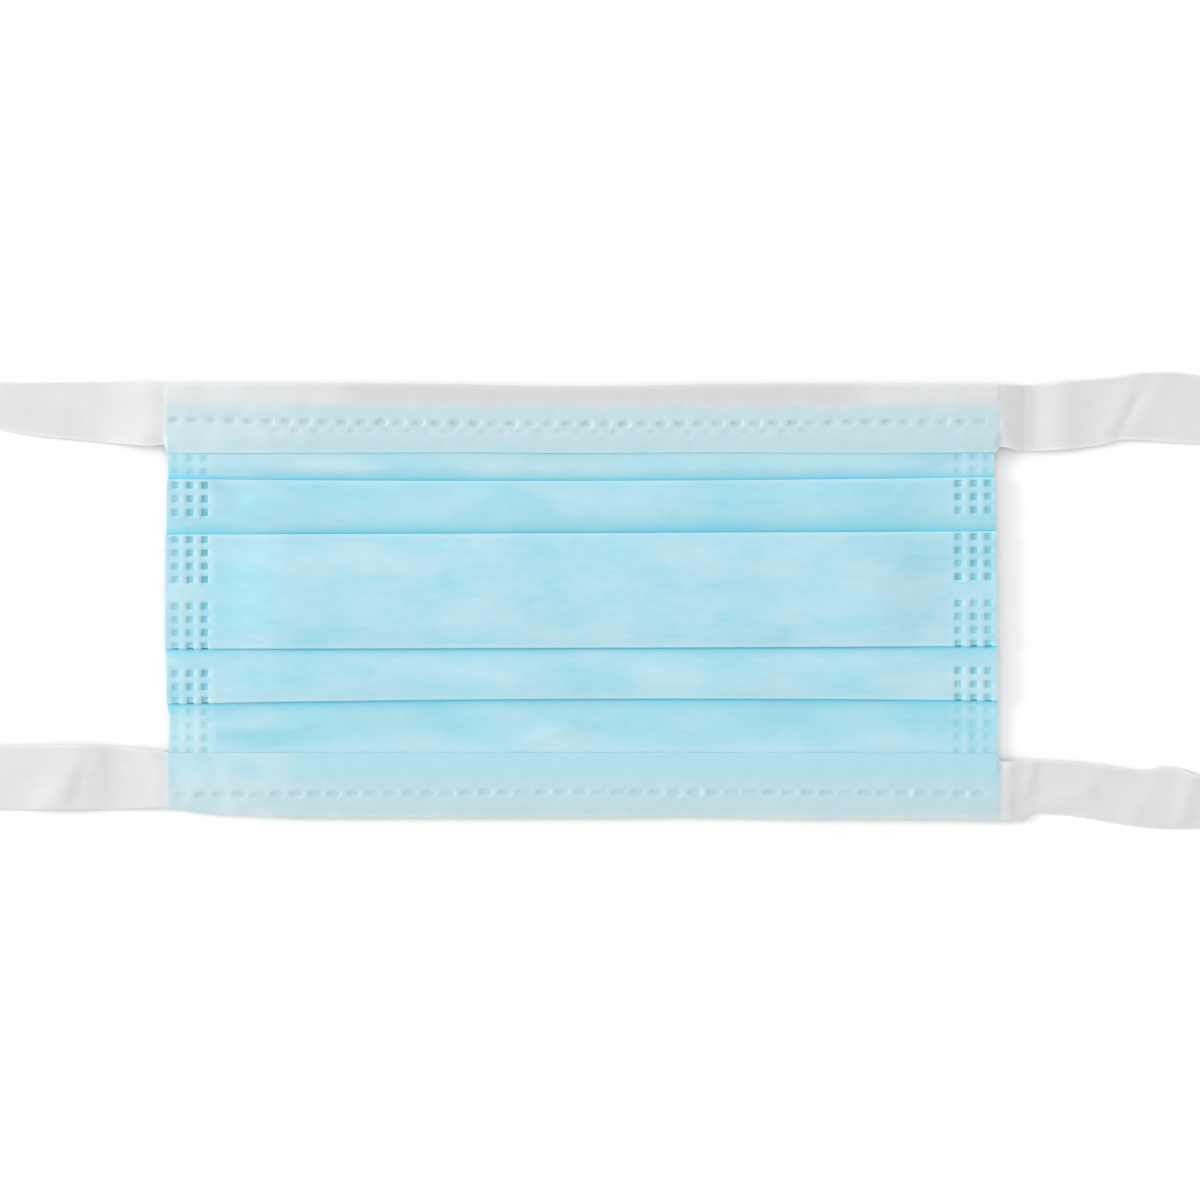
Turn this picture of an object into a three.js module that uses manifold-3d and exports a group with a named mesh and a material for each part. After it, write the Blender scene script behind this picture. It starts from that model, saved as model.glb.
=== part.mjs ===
// A tie-on surgical face mask lying flat, outer side up: a pleated panel bound at its nose edge and its
// chin edge by two folded strips, which go on past both sides as four ties. Millimetres, +X along the
// edges, +Y towards the nose edge, +Z up from the surface that the mask lies on.
import * as THREE from "three";
import { mergeVertices } from "three/addons/utils/BufferGeometryUtils.js";
import Module from "manifold-3d";

const wasm = await Module();
wasm.setup();

// Walls and gaps
const WALL = 1.0;
const LAYER_GAP = 0.2;
const PIECE_GAP = 0.3;
const TIE_THICKNESS = 1.2;
const FOLD_STEPS = 6;

// Pleated panel. Distances from its centre line are measured across the pleats.
const LAYER_PITCH = WALL + LAYER_GAP;
const FOLD_RADIUS = LAYER_PITCH / 2;
const CENTRE_LINE = 1.95;
const CENTRE_HALF = 12.05;
const OUTER_HALF = 23.4;
const INNER_PLEAT_DEPTH = 10.5;
const OUTER_PLEAT_DEPTH = 9.05;
const RAMP_RUN = 5.4;
const RAMP_CLEARANCE = 0.3;
const LOWEST_LAYER = WALL / 2;
const FLANGE_LEVEL = WALL + PIECE_GAP + WALL / 2;
const FLANGE_RAMP = 4.5;
const NOSE_EDGE = 40.4;
const CHIN_EDGE = -43.6;
const NOSE_BAND_EDGE = 31.0;
const CHIN_BAND_EDGE = -32.3;

// How far each crosswise line of the panel strays from straight, at its left end, middle and right end
const STRAY_LINES = [
  { y: NOSE_EDGE, left: 0.0, middle: 0.0, right: 0.0 },
  { y: 25.3, left: 0.2, middle: -0.2, right: 0.6 },
  { y: 14.0, left: -0.2, middle: 0.1, right: 0.5 },
  { y: -10.1, left: -0.2, middle: 0.0, right: 0.4 },
  { y: -21.5, left: -0.5, middle: 0.6, right: 0.2 },
  { y: CHIN_BAND_EDGE, left: 0.0, middle: 0.0, right: 0.0 },
  { y: CHIN_EDGE, left: 1.5, middle: 0.0, right: -0.4 },
];

// The side edges of each stretch of the panel
const STRETCHES = {
  centre: { left: -91.7, right: 83.6 },
  hidden: { left: -91.2, right: 83.3 },
  nosePleat: { left: -91.4, right: 83.5 },
  chinPleat: { left: -91.4, right: 83.9 },
  noseFlange: { left: -91.1, right: 83.3 },
  chinFlange: { left: -90.8, right: 83.8 },
};
const PANEL_SECTIONS = 13;

// Tie bands. The fold is the band's outer edge, and the edge is where its two flaps end.
const BAND_RADIUS = WALL + PIECE_GAP;
const HIDDEN_FLAP_SHORTER = 0.6;
const PLUG_LENGTH = 1.0;
const PLUG_INSET = 0.25;
const NOSE_BAND_LINES = [
  { x: -92.4, fold: 45.8, edge: 32.9 },
  { x: -91.0, fold: 45.8, edge: 31.2 },
  { x: -60.0, fold: 45.7, edge: 31.0 },
  { x: -30.0, fold: 45.4, edge: 31.0 },
  { x: 0.0, fold: 44.9, edge: 31.0 },
  { x: 20.0, fold: 45.3, edge: 31.0 },
  { x: 60.0, fold: 45.6, edge: 31.2 },
  { x: 83.2, fold: 45.5, edge: 31.1 },
  { x: 84.6, fold: 45.5, edge: 32.3 },
];
const CHIN_BAND_LINES = [
  { x: -92.1, fold: -43.9, edge: -32.0 },
  { x: -84.0, fold: -44.9, edge: -32.3 },
  { x: -74.0, fold: -45.5, edge: -32.3 },
  { x: -60.0, fold: -46.0, edge: -32.3 },
  { x: 0.0, fold: -46.0, edge: -32.3 },
  { x: 20.0, fold: -45.8, edge: -32.3 },
  { x: 40.0, fold: -46.2, edge: -32.3 },
  { x: 83.6, fold: -46.6, edge: -32.5 },
  { x: 85.1, fold: -46.6, edge: -34.1 },
];

// Ties: both side edges, and how far each edge and the middle stand off the surface
const TIE_END = 129.5;
const NOSE_LEFT_TIE = [
  { x: -TIE_END, low: 36.7, high: 45.9, lowLift: 0.0, middleLift: 0.0, highLift: 0.0 },
  { x: -121.2, low: 35.0, high: 45.8, lowLift: 0.0, middleLift: 0.0, highLift: 0.0 },
  { x: -110.7, low: 33.9, high: 46.0, lowLift: 0.0, middleLift: 0.0, highLift: 0.0 },
  { x: -105.4, low: 33.3, high: 46.0, lowLift: 0.0, middleLift: 0.0, highLift: 0.0 },
  { x: -98.5, low: 32.9, high: 46.0, lowLift: 0.1, middleLift: 0.3, highLift: 0.2 },
  { x: -94.9, low: 32.5, high: 46.0, lowLift: 0.7, middleLift: 0.8, highLift: 0.7 },
  { x: -91.7, low: 32.9, high: 45.8, lowLift: 1.2, middleLift: 1.2, highLift: 1.2 },
];
const NOSE_RIGHT_TIE = [
  { x: 83.9, low: 32.4, high: 45.5, lowLift: 1.2, middleLift: 1.2, highLift: 1.2 },
  { x: 87.0, low: 31.6, high: 45.4, lowLift: 0.7, middleLift: 0.8, highLift: 0.7 },
  { x: 90.5, low: 31.4, high: 45.3, lowLift: 0.0, middleLift: 0.2, highLift: 0.0 },
  { x: 94.9, low: 31.6, high: 45.5, lowLift: 0.0, middleLift: 0.0, highLift: 0.0 },
  { x: 105.4, low: 32.7, high: 46.6, lowLift: 0.0, middleLift: 0.2, highLift: 0.0 },
  { x: 110.7, low: 33.9, high: 47.2, lowLift: 0.2, middleLift: 1.0, highLift: 0.2 },
  { x: 114.0, low: 33.8, high: 47.7, lowLift: 0.0, middleLift: 0.4, highLift: 1.4 },
  { x: 118.0, low: 33.5, high: 48.0, lowLift: 0.0, middleLift: 0.0, highLift: 0.5 },
  { x: 121.2, low: 33.3, high: 47.9, lowLift: 0.0, middleLift: 0.0, highLift: 0.0 },
  { x: TIE_END, low: 33.0, high: 46.8, lowLift: 0.0, middleLift: 0.0, highLift: 0.0 },
];
const CHIN_LEFT_TIE = [
  { x: -TIE_END, low: -44.1, high: -30.6, lowLift: 0.0, middleLift: 0.0, highLift: 0.0 },
  { x: -116.0, low: -44.1, high: -30.6, lowLift: 0.0, middleLift: 0.0, highLift: 0.0 },
  { x: -108.0, low: -44.1, high: -30.6, lowLift: 0.0, middleLift: 0.5, highLift: 0.0 },
  { x: -103.0, low: -44.1, high: -30.7, lowLift: 0.0, middleLift: 0.2, highLift: 0.2 },
  { x: -98.0, low: -44.1, high: -31.1, lowLift: 0.2, middleLift: 0.3, highLift: 0.2 },
  { x: -94.6, low: -43.9, high: -31.6, lowLift: 0.7, middleLift: 0.8, highLift: 0.7 },
  { x: -91.4, low: -43.9, high: -32.0, lowLift: 1.2, middleLift: 1.2, highLift: 1.2 },
];
const CHIN_RIGHT_TIE = [
  { x: 84.4, low: -46.6, high: -34.1, lowLift: 1.2, middleLift: 1.2, highLift: 1.2 },
  { x: 87.0, low: -46.7, high: -34.0, lowLift: 0.9, middleLift: 1.8, highLift: 1.2 },
  { x: 89.4, low: -46.4, high: -33.9, lowLift: 0.6, middleLift: 2.0, highLift: 0.9 },
  { x: 91.9, low: -44.5, high: -33.9, lowLift: 1.5, middleLift: 1.0, highLift: 0.4 },
  { x: 95.0, low: -45.1, high: -33.9, lowLift: 0.5, middleLift: 0.5, highLift: 0.0 },
  { x: 100.2, low: -45.5, high: -34.2, lowLift: 0.0, middleLift: 0.3, highLift: 0.0 },
  { x: 105.4, low: -46.4, high: -34.8, lowLift: 0.0, middleLift: 0.0, highLift: 0.0 },
  { x: 116.0, low: -47.9, high: -36.1, lowLift: 0.0, middleLift: 0.0, highLift: 0.0 },
  { x: 119.5, low: -48.0, high: -35.2, lowLift: 0.0, middleLift: 0.3, highLift: 0.6 },
  { x: 122.0, low: -48.0, high: -35.6, lowLift: 0.0, middleLift: 0.0, highLift: 0.2 },
  { x: 125.0, low: -47.9, high: -36.8, lowLift: 0.0, middleLift: 0.0, highLift: 0.0 },
  { x: TIE_END, low: -47.7, high: -38.2, lowLift: 0.0, middleLift: 0.0, highLift: 0.0 },
];

// Nose wire, flat inside the fold of the nose band
const WIRE_LENGTH = 112;
const WIRE_WIDTH = 2.9;
const WIRE_THICKNESS = 0.8;
const WIRE_CORNER = 0.8;

const BLUE = 0xb4dfec;
const WHITE = 0xe6e8e8;
const WIRE_GREY = 0xc9cccd;

const radians = THREE.MathUtils.degToRad;
const lerp = THREE.MathUtils.lerp;

// A row of a table at any x between its first and last rows, each column linear in between
function rowAt(table, column, value) {
  const sign = Math.sign(table.at(-1)[column] - table[0][column]);
  const after = table.findIndex((row) => sign * (row[column] - value) >= 0);
  if (after === 0) return { ...table[0] };
  if (after < 0) return { ...table.at(-1) };
  const [a, b] = [table[after - 1], table[after]];
  const t = (value - a[column]) / (b[column] - a[column]);
  return Object.fromEntries(Object.keys(a).map((key) => [key, lerp(a[key], b[key], t)]));
}

// A parabola through three values at the left end, the middle and the right end
function bow({ left, middle, right }, share) {
  const side = 2 * share - 1;
  return middle + ((right - left) / 2) * side + ((left + right) / 2 - middle) * side * side;
}

// An arc of points in the section plane, as y and z
function arc(y, z, radius, from, to, steps) {
  return Array.from({ length: steps + 1 }, (_, i) => {
    const angle = radians(lerp(from, to, i / steps));
    return { y: y + radius * Math.cos(angle), z: z + radius * Math.sin(angle) };
  });
}

// The path moved sideways in its section plane, so that each side stays at its distance round the bends
function offsetPath(path, distance) {
  const direction = (a, b) => new THREE.Vector2(b.y - a.y, b.z - a.z).normalize();
  return path.map((point, i) => {
    const before = i > 0 ? direction(path[i - 1], point) : direction(point, path[i + 1]);
    const after = i < path.length - 1 ? direction(point, path[i + 1]) : before;
    const right = new THREE.Vector2(before.y + after.y, -before.x - after.x).normalize();
    const reach = distance / (right.x * after.y - right.y * after.x);
    return { x: point.x, y: point.y + right.x * reach, z: point.z + right.y * reach };
  });
}

// One closed wall through section paths that follow one another along +X
function wallThrough(paths, thickness) {
  const sections = paths.map((path) => [
    ...offsetPath(path, thickness / 2),
    ...offsetPath(path, -thickness / 2).reverse(),
  ]);
  const count = sections[0].length;
  const last = (sections.length - 1) * count;
  const indices = [];
  const quad = (a, b, c, d) => indices.push(a, b, c, a, c, d);
  for (let i = 0; i < sections.length - 1; i++) {
    for (let j = 0; j < count; j++) {
      const next = (j + 1) % count;
      quad(i * count + j, i * count + next, (i + 1) * count + next, (i + 1) * count + j);
    }
  }
  for (let j = 0; j < count / 2 - 1; j++) {
    const across = count - 1 - j;
    quad(j, across, across - 1, j + 1);
    quad(last + j, last + j + 1, last + across - 1, last + across);
  }
  const geometry = new THREE.BufferGeometry();
  const positions = sections.flat().flatMap((point) => [point.x, point.y, point.z]);
  geometry.setAttribute("position", new THREE.Float32BufferAttribute(positions, 3));
  geometry.setIndex(indices);
  return geometry;
}

function solidOf(geometry) {
  const bare = geometry.clone();
  bare.deleteAttribute("normal");
  bare.deleteAttribute("uv");
  const merged = mergeVertices(bare);
  return new wasm.Manifold(
    new wasm.Mesh({
      numProp: 3,
      vertProperties: merged.attributes.position.array,
      triVerts: new Uint32Array(merged.index.array),
    }),
  );
}

function joined(geometries) {
  const solid = geometries.map(solidOf).reduce((sum, next) => sum.add(next));
  const mesh = solid.getMesh();
  const geometry = new THREE.BufferGeometry();
  geometry.setAttribute("position", new THREE.Float32BufferAttribute(mesh.vertProperties, 3));
  geometry.setIndex(Array.from(mesh.triVerts));
  return geometry;
}

function namedMesh(name, geometry, color, roughness, metalness) {
  const material = new THREE.MeshStandardMaterial({ color, roughness, metalness });
  geometry.computeVertexNormals();
  const mesh = new THREE.Mesh(geometry, material);
  mesh.name = name;
  return mesh;
}

// Half of the panel's folded section, from its centre line out to the edge at reach, on the side given
function halfPanelPath(side, reach, bandEdge, pleat, flange) {
  const { centre, hidden } = STRETCHES;
  const levels = [0, 1, 2].map((layer) => LOWEST_LAYER + layer * LAYER_PITCH);
  const foldInset = FOLD_RADIUS + WALL / 2;
  const rampTop = OUTER_HALF - OUTER_PLEAT_DEPTH - RAMP_CLEARANCE;
  const rampFoot = rampTop - RAMP_RUN;
  const slope = (levels[2] - levels[0]) / RAMP_RUN;
  const innerFold = CENTRE_HALF - foldInset;
  const innerTuck = CENTRE_HALF - INNER_PLEAT_DEPTH + foldInset;
  const outerFold = OUTER_HALF - foldInset;
  const outerTuck = OUTER_HALF - OUTER_PLEAT_DEPTH + foldInset;
  const returnFoot = rampFoot - LAYER_PITCH * Math.tan(Math.atan(slope) / 2);
  const returnTop = levels[1] + slope * (innerFold - returnFoot);
  const flangeTop = Math.abs(bandEdge - CENTRE_LINE) - WALL / 2;
  const stretch = (edges, points) => points.map((point) => ({ ...point, ...edges }));
  const halfway = (levels[0] + levels[1]) / 2;
  const path = [
    ...stretch(centre, [{ y: 0, z: returnTop + LAYER_PITCH }]),
    ...stretch(centre, arc(innerFold, returnTop + FOLD_RADIUS, FOLD_RADIUS, 90, -90, FOLD_STEPS)),
    ...stretch(hidden, [{ y: returnFoot, z: levels[1] }]),
    ...stretch(hidden, arc(innerTuck, halfway, FOLD_RADIUS, 90, 270, FOLD_STEPS)),
    ...stretch(pleat, [{ y: rampFoot, z: levels[0] }]),
    ...stretch(pleat, [{ y: rampTop, z: levels[2] }]),
    ...stretch(pleat, arc(outerFold, levels[1] + FOLD_RADIUS, FOLD_RADIUS, 90, -90, FOLD_STEPS)),
    ...stretch(hidden, arc(outerTuck, halfway, FOLD_RADIUS, 90, 270, FOLD_STEPS)),
    ...stretch(flange, [{ y: flangeTop - FLANGE_RAMP, z: levels[0] }]),
    ...stretch(flange, [{ y: flangeTop, z: FLANGE_LEVEL }]),
    ...stretch(flange, [{ y: reach, z: FLANGE_LEVEL }]),
  ];
  return path.map((point) => ({ ...point, y: CENTRE_LINE + side * point.y }));
}

// The welded plies as one sheet: pleats folded up towards the nose above the centre, and down below it
function pleatedPanel() {
  const { nosePleat, chinPleat, noseFlange, chinFlange } = STRETCHES;
  const noseReach = NOSE_EDGE - CENTRE_LINE;
  const chinReach = CENTRE_LINE - CHIN_EDGE;
  const noseHalf = halfPanelPath(1, noseReach, NOSE_BAND_EDGE, nosePleat, noseFlange);
  const chinHalf = halfPanelPath(-1, chinReach, CHIN_BAND_EDGE, chinPleat, chinFlange);
  const section = [...chinHalf.slice(1).reverse(), ...noseHalf];
  const sections = Array.from({ length: PANEL_SECTIONS }, (_, i) => {
    const share = i / (PANEL_SECTIONS - 1);
    return section.map(({ y, z, left, right }) => ({
      x: lerp(left, right, share),
      y: y + bow(rowAt(STRAY_LINES, "y", y), share),
      z,
    }));
  });
  return namedMesh("pleated_panel", wallThrough(sections, WALL), BLUE, 0.85, 0.0);
}

// The band's folded section at one x: under the panel, round its edge, and back over it
function bandPath({ x, fold, edge }) {
  const side = Math.sign(fold - edge);
  const turn = fold - side * (BAND_RADIUS + WALL / 2);
  const path = [
    { y: HIDDEN_FLAP_SHORTER, z: -BAND_RADIUS },
    ...arc(side * (turn - edge), 0, BAND_RADIUS, -90, 90, FOLD_STEPS),
    { y: 0, z: BAND_RADIUS },
  ];
  return path.map(({ y, z }) => ({ x, y: edge + side * y, z: z + FLANGE_LEVEL }));
}

// A solid end that closes the band past the panel's side edge, where both flaps become the tie
function bandPlug(lines, from, to) {
  const paths = [from, to].map((x) => {
    const { fold, edge } = rowAt(lines, "x", x);
    const side = Math.sign(fold - edge);
    const ends = [edge + side * (HIDDEN_FLAP_SHORTER + PLUG_INSET), fold - side * BAND_RADIUS];
    return ends.sort((a, b) => a - b).map((y) => ({ x, y, z: FLANGE_LEVEL }));
  });
  return wallThrough(paths, 2 * BAND_RADIUS + WALL - 2 * PLUG_INSET);
}

function tieStrap(rows) {
  const paths = rows.map(({ x, low, high, lowLift, middleLift, highLift }) => {
    const middle = (low + high) / 2;
    const quarter = (high - low) / 4;
    const rest = TIE_THICKNESS / 2;
    return [
      { x, y: low, z: rest + lowLift },
      { x, y: middle - quarter, z: rest + (lowLift + middleLift) / 2 },
      { x, y: middle, z: rest + middleLift },
      { x, y: middle + quarter, z: rest + (middleLift + highLift) / 2 },
      { x, y: high, z: rest + highLift },
    ];
  });
  return wallThrough(paths, TIE_THICKNESS);
}

function tieBand(name, lines, leftTie, rightTie) {
  const [first, last] = [lines[0].x, lines.at(-1).x];
  const geometry = joined([
    wallThrough(lines.map(bandPath), WALL),
    bandPlug(lines, first + PLUG_INSET, first + PLUG_LENGTH),
    bandPlug(lines, last - PLUG_LENGTH, last - PLUG_INSET),
    tieStrap(leftTie),
    tieStrap(rightTie),
  ]);
  return namedMesh(name, geometry, WHITE, 0.8, 0.0);
}

function noseWire() {
  const [length, width, corner] = [WIRE_LENGTH / 2, WIRE_WIDTH / 2, WIRE_CORNER];
  const outline = new THREE.Shape();
  outline.moveTo(-length + corner, -width);
  outline.lineTo(length - corner, -width);
  outline.absarc(length - corner, -width + corner, corner, radians(-90), 0, false);
  outline.absarc(length - corner, width - corner, corner, 0, radians(90), false);
  outline.absarc(-length + corner, width - corner, corner, radians(90), radians(180), false);
  outline.absarc(-length + corner, -width + corner, corner, radians(180), radians(270), false);
  const options = { depth: WIRE_THICKNESS, bevelEnabled: false, curveSegments: 4 };
  const wire = namedMesh("nose_wire", new THREE.ExtrudeGeometry(outline, options), WIRE_GREY, 0.5, 0.2);
  wire.position.set(0, NOSE_EDGE + PIECE_GAP + width, FLANGE_LEVEL - WIRE_THICKNESS / 2);
  return wire;
}

const mask = new THREE.Group();
mask.add(
  pleatedPanel(),
  tieBand("nose_tie_band", NOSE_BAND_LINES, NOSE_LEFT_TIE, NOSE_RIGHT_TIE),
  tieBand("chin_tie_band", CHIN_BAND_LINES, CHIN_LEFT_TIE, CHIN_RIGHT_TIE),
  noseWire(),
);

export default mask;
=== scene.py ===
"""A tie-on surgical face mask lying flat on a pale table, outer side up.

The pleated blue panel and the two folded white strips that bind its long edges are surfaces of two
parameters, worked out with numpy. Tables and sizes are in millimetres, and meshes are in metres.
"""

import logging
import math
from dataclasses import dataclass, field
from enum import Enum

import bpy
import numpy as np
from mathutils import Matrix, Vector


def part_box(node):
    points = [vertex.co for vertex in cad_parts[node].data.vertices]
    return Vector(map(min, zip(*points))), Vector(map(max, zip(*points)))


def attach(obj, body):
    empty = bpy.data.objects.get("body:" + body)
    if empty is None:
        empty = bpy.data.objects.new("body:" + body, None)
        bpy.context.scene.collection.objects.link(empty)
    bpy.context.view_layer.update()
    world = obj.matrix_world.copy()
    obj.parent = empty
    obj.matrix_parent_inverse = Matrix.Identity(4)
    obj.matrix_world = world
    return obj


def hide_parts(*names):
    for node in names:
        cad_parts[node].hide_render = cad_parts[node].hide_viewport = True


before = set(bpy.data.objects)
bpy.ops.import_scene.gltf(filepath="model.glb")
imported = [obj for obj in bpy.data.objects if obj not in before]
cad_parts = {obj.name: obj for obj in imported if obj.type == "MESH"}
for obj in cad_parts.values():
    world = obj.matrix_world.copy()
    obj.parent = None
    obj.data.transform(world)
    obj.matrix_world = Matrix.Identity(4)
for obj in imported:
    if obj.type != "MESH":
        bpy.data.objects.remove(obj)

Array = np.ndarray
Colour = tuple[float, float, float]
Row = dict[str, float]

MILLIMETRE = 0.001
# Millimetres of cloth in one unit of the UV map, and between two grid lines at the least
CLOTH_UNIT = 100.0
CLOSEST_LINES = 0.03
SHARP_DEGREES = 50.0
BODY = "root"
log = logging.getLogger("mask")


class Edge(Enum):
    """One of the panel's long edges; the value is the side of the centre line that it lies on."""

    NOSE = 1
    CHIN = -1


class Layer(Enum):
    """A stretch of the folded panel, from its centre outwards."""

    CENTRE = "centre"
    INNER_RETURN = "inner return"
    PLEAT = "pleat"
    OUTER_RETURN = "outer return"
    FLANGE = "flange"


# ---------------------------------------------------------------- shapes of one and two variables


def rows(columns: tuple[str, ...], *values: tuple[float, ...]) -> list[Row]:
    """A table: each row of values under the columns' names."""
    return [dict(zip(columns, row)) for row in values]


def ease(low: float, high: float, value: Array) -> Array:
    """A smooth step: 0 below low, 1 above high, and a cubic with level ends in between.

    Args:
        low: Where the step starts.
        high: Where it ends. It may be less than low, and the step then falls.
        value: The places to work it out at.

    Returns:
        The step's height at each place.
    """
    share = np.clip((value - low) / (high - low), 0.0, 1.0)
    return share * share * (3.0 - 2.0 * share)


def bell(distance: Array, width: float) -> Array:
    """A bell, exp(-(distance / width) squared), which is 1 at no distance."""
    return np.exp(-((distance / width) ** 2))


def plateau(distance: Array, half: float, rim: float) -> Array:
    """1 inside half of the middle, falling in a smooth step to 0 across the rim."""
    return ease(half + rim, half, np.abs(distance))


def through(table: list[Row], across: str, column: str, at: Array) -> Array:
    """A smooth curve through a table's rows: cubics that meet in slope and never overshoot a row.

    A row's slope is the one across its neighbours, held to twice the gentler slope beside it.

    Args:
        table: Rows in rising order of the across column.
        across: The column that the curve runs over.
        column: The column that it gives.
        at: The places to work it out at. Past the ends the curve stays level.

    Returns:
        The curve's value at each place.
    """
    knots = np.array([row[across] for row in table])
    values = np.array([row[column] for row in table])
    secants = np.diff(values) / np.diff(knots)
    before, after = np.append(secants[:1], secants), np.append(secants, secants[-1:])
    gentlest = np.where(before * after > 0, 2 * np.minimum(np.abs(before), np.abs(after)), 0.0)
    slopes = np.clip(np.gradient(values, knots), -gentlest, gentlest)
    place = np.clip(at, knots[0], knots[-1])
    index = np.clip(np.searchsorted(knots, place, side="right") - 1, 0, len(knots) - 2)
    span = knots[index + 1] - knots[index]
    t = (place - knots[index]) / span
    start = values[index] * (1 + 2 * t) * (1 - t) ** 2 + slopes[index] * span * t * (1 - t) ** 2
    end = values[index + 1] * t * t * (3 - 2 * t) - slopes[index + 1] * span * t * t * (1 - t)
    return start + end


def ripples(x: Array, y: Array, wavelength: float, seed: int, waves: int = 10) -> Array:
    """A smooth random field: the sum of plane waves of random heading, phase and near-equal length.

    Args:
        x: Places along the mask.
        y: Places across it.
        wavelength: The usual distance from crest to crest.
        seed: Chooses the random waves.
        waves: How many waves are added.

    Returns:
        Heights that mostly lie between -1 and 1.
    """
    chance = np.random.default_rng(seed)
    heading = chance.uniform(0.0, math.tau, waves)
    number = math.tau / (wavelength * chance.uniform(0.7, 1.5, waves))
    phase = chance.uniform(0.0, math.tau, waves)
    along = x[..., None] * np.cos(heading) + y[..., None] * np.sin(heading)
    return np.sin(along * number + phase).sum(-1) / math.sqrt(2.0 * waves)


def from_segment(x: Array, y: Array, row: Row) -> Array:
    """The distance of each place from the straight line between a row's two points.

    Args:
        x: Places along the mask.
        y: Places across it.
        row: A row with the line's ends as x0, y0, x1 and y1.

    Returns:
        The distances.
    """
    run = np.array([row["x1"] - row["x0"], row["y1"] - row["y0"]])
    share = ((x - row["x0"]) * run[0] + (y - row["y0"]) * run[1]) / (run @ run)
    share = np.clip(share, 0.0, 1.0)
    return np.hypot(x - row["x0"] - share * run[0], y - row["y0"] - share * run[1])


def stations(fixed: list[float], low: float, high: float, widest: float) -> Array:
    """Grid lines from low to high through the fixed places, with gaps no wider than widest.

    Args:
        fixed: Places that get a line. One that is almost on the line before it is left out.
        low: The first line.
        high: The last line.
        widest: The widest gap.

    Returns:
        The lines in rising order.
    """
    marks = [low]
    for place in sorted(fixed):
        if marks[-1] + CLOSEST_LINES < place < high - CLOSEST_LINES:
            marks.append(place)
    marks.append(high)
    pieces = [
        np.linspace(a, b, max(1, math.ceil((b - a) / widest)), endpoint=False)
        for a, b in zip(marks, marks[1:])
    ]
    return np.concatenate([*pieces, [high]])


# ---------------------------------------------------------------- cloth as a mesh


@dataclass
class ClothWall:
    """A closed thin wall round a middle surface, given on a grid of rows and columns.

    The columns run along +X. The outer side is the one that the rows and columns turn towards, which is
    up wherever the rows run along +Y.
    """

    name: str
    middle: Array
    outer: Array
    inner: Array
    cloth: Array
    masks: dict[str, Array] = field(default_factory=dict)

    def normals(self) -> Array:
        """Unit normals: the cross product of the steps along the columns and along the rows.

        Returns:
            A normal for each place of the middle surface.
        """
        along = np.gradient(self.middle, axis=1)
        across = np.gradient(self.middle, axis=0)
        cross = np.cross(along, across)
        return cross / np.linalg.norm(cross, axis=-1, keepdims=True)

    def faces(self) -> Array:
        """Quads of the outer side, of the inner side turned round, and of the rim between the two.

        Returns:
            Four vertex numbers for each quad.
        """
        rows, columns = self.outer.shape
        index = np.arange(rows * columns).reshape(rows, columns)
        corners = (index[:-1, :-1], index[:-1, 1:], index[1:, 1:], index[1:, :-1])
        outer = np.stack([corner.ravel() for corner in corners], axis=1)
        inner = outer[:, ::-1] + rows * columns
        ring = np.concatenate([index[0, :-1], index[:-1, -1], index[-1, :0:-1], index[:0:-1, 0]])
        after = np.roll(ring, -1)
        rim = np.stack([ring, ring + rows * columns, after + rows * columns, after], axis=1)
        return np.concatenate([outer, inner, rim])

    def build(self) -> bpy.types.Object:
        """Makes the mesh, with its masks as attributes and the flat cloth's own lengths as its UV map.

        Returns:
            The new piece, in the scene and without a material.
        """
        normals = self.normals()
        outer = self.middle + normals * self.outer[..., None]
        inner = self.middle - normals * self.inner[..., None]
        places = np.concatenate([outer.reshape(-1, 3), inner.reshape(-1, 3)]) * MILLIMETRE
        faces = self.faces()
        mesh = bpy.data.meshes.new(self.name)
        mesh.from_pydata(places.tolist(), [], faces.tolist())
        mesh.update()
        corners = faces.ravel()
        cloth = np.concatenate([self.cloth.reshape(-1, 2)] * 2) / CLOTH_UNIT
        layer = mesh.uv_layers.new(name="cloth")
        layer.data.foreach_set("uv", cloth[corners].ravel())
        for name, mask in self.masks.items():
            values = np.concatenate([mask.ravel()] * 2).astype(np.float32)
            mesh.attributes.new(name, "FLOAT", "POINT").data.foreach_set("value", values)
        sides = np.repeat([0.0, 1.0], self.outer.size).astype(np.float32)
        mesh.attributes.new("inside", "FLOAT", "POINT").data.foreach_set("value", sides)
        mesh.polygons.foreach_set("use_smooth", [True] * len(faces))
        mesh.set_sharp_from_angle(angle=math.radians(SHARP_DEGREES))
        piece = bpy.data.objects.new(self.name, mesh)
        bpy.context.scene.collection.objects.link(piece)
        return piece


# ---------------------------------------------------------------- how the whole mask lies


@dataclass
class Lie:
    """How the mask lies: its side edges, and how its layers are pinched together along them."""

    left: float
    right: float
    pinch_run: float = 17.0
    weld_zone: float = 9.5
    nose_plane: float = 1.8
    chin_plane: float = 1.15

    @classmethod
    def from_frame(cls) -> "Lie":
        """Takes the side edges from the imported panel."""
        low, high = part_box("pleated_panel")
        return cls(left=low.x / MILLIMETRE, right=high.x / MILLIMETRE)

    def pinch(self, x: Array) -> Array:
        """1 in the welded zones at both sides, easing to 0 over pinch_run further in."""
        inboard = np.minimum(x - self.left, self.right - x)
        return ease(self.weld_zone + self.pinch_run, self.weld_zone, inboard)

    def band_plane(self, edge: Edge) -> float:
        """The height of the middle of a bound edge."""
        return self.nose_plane if edge is Edge.NOSE else self.chin_plane


# ---------------------------------------------------------------- the pleated panel

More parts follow.
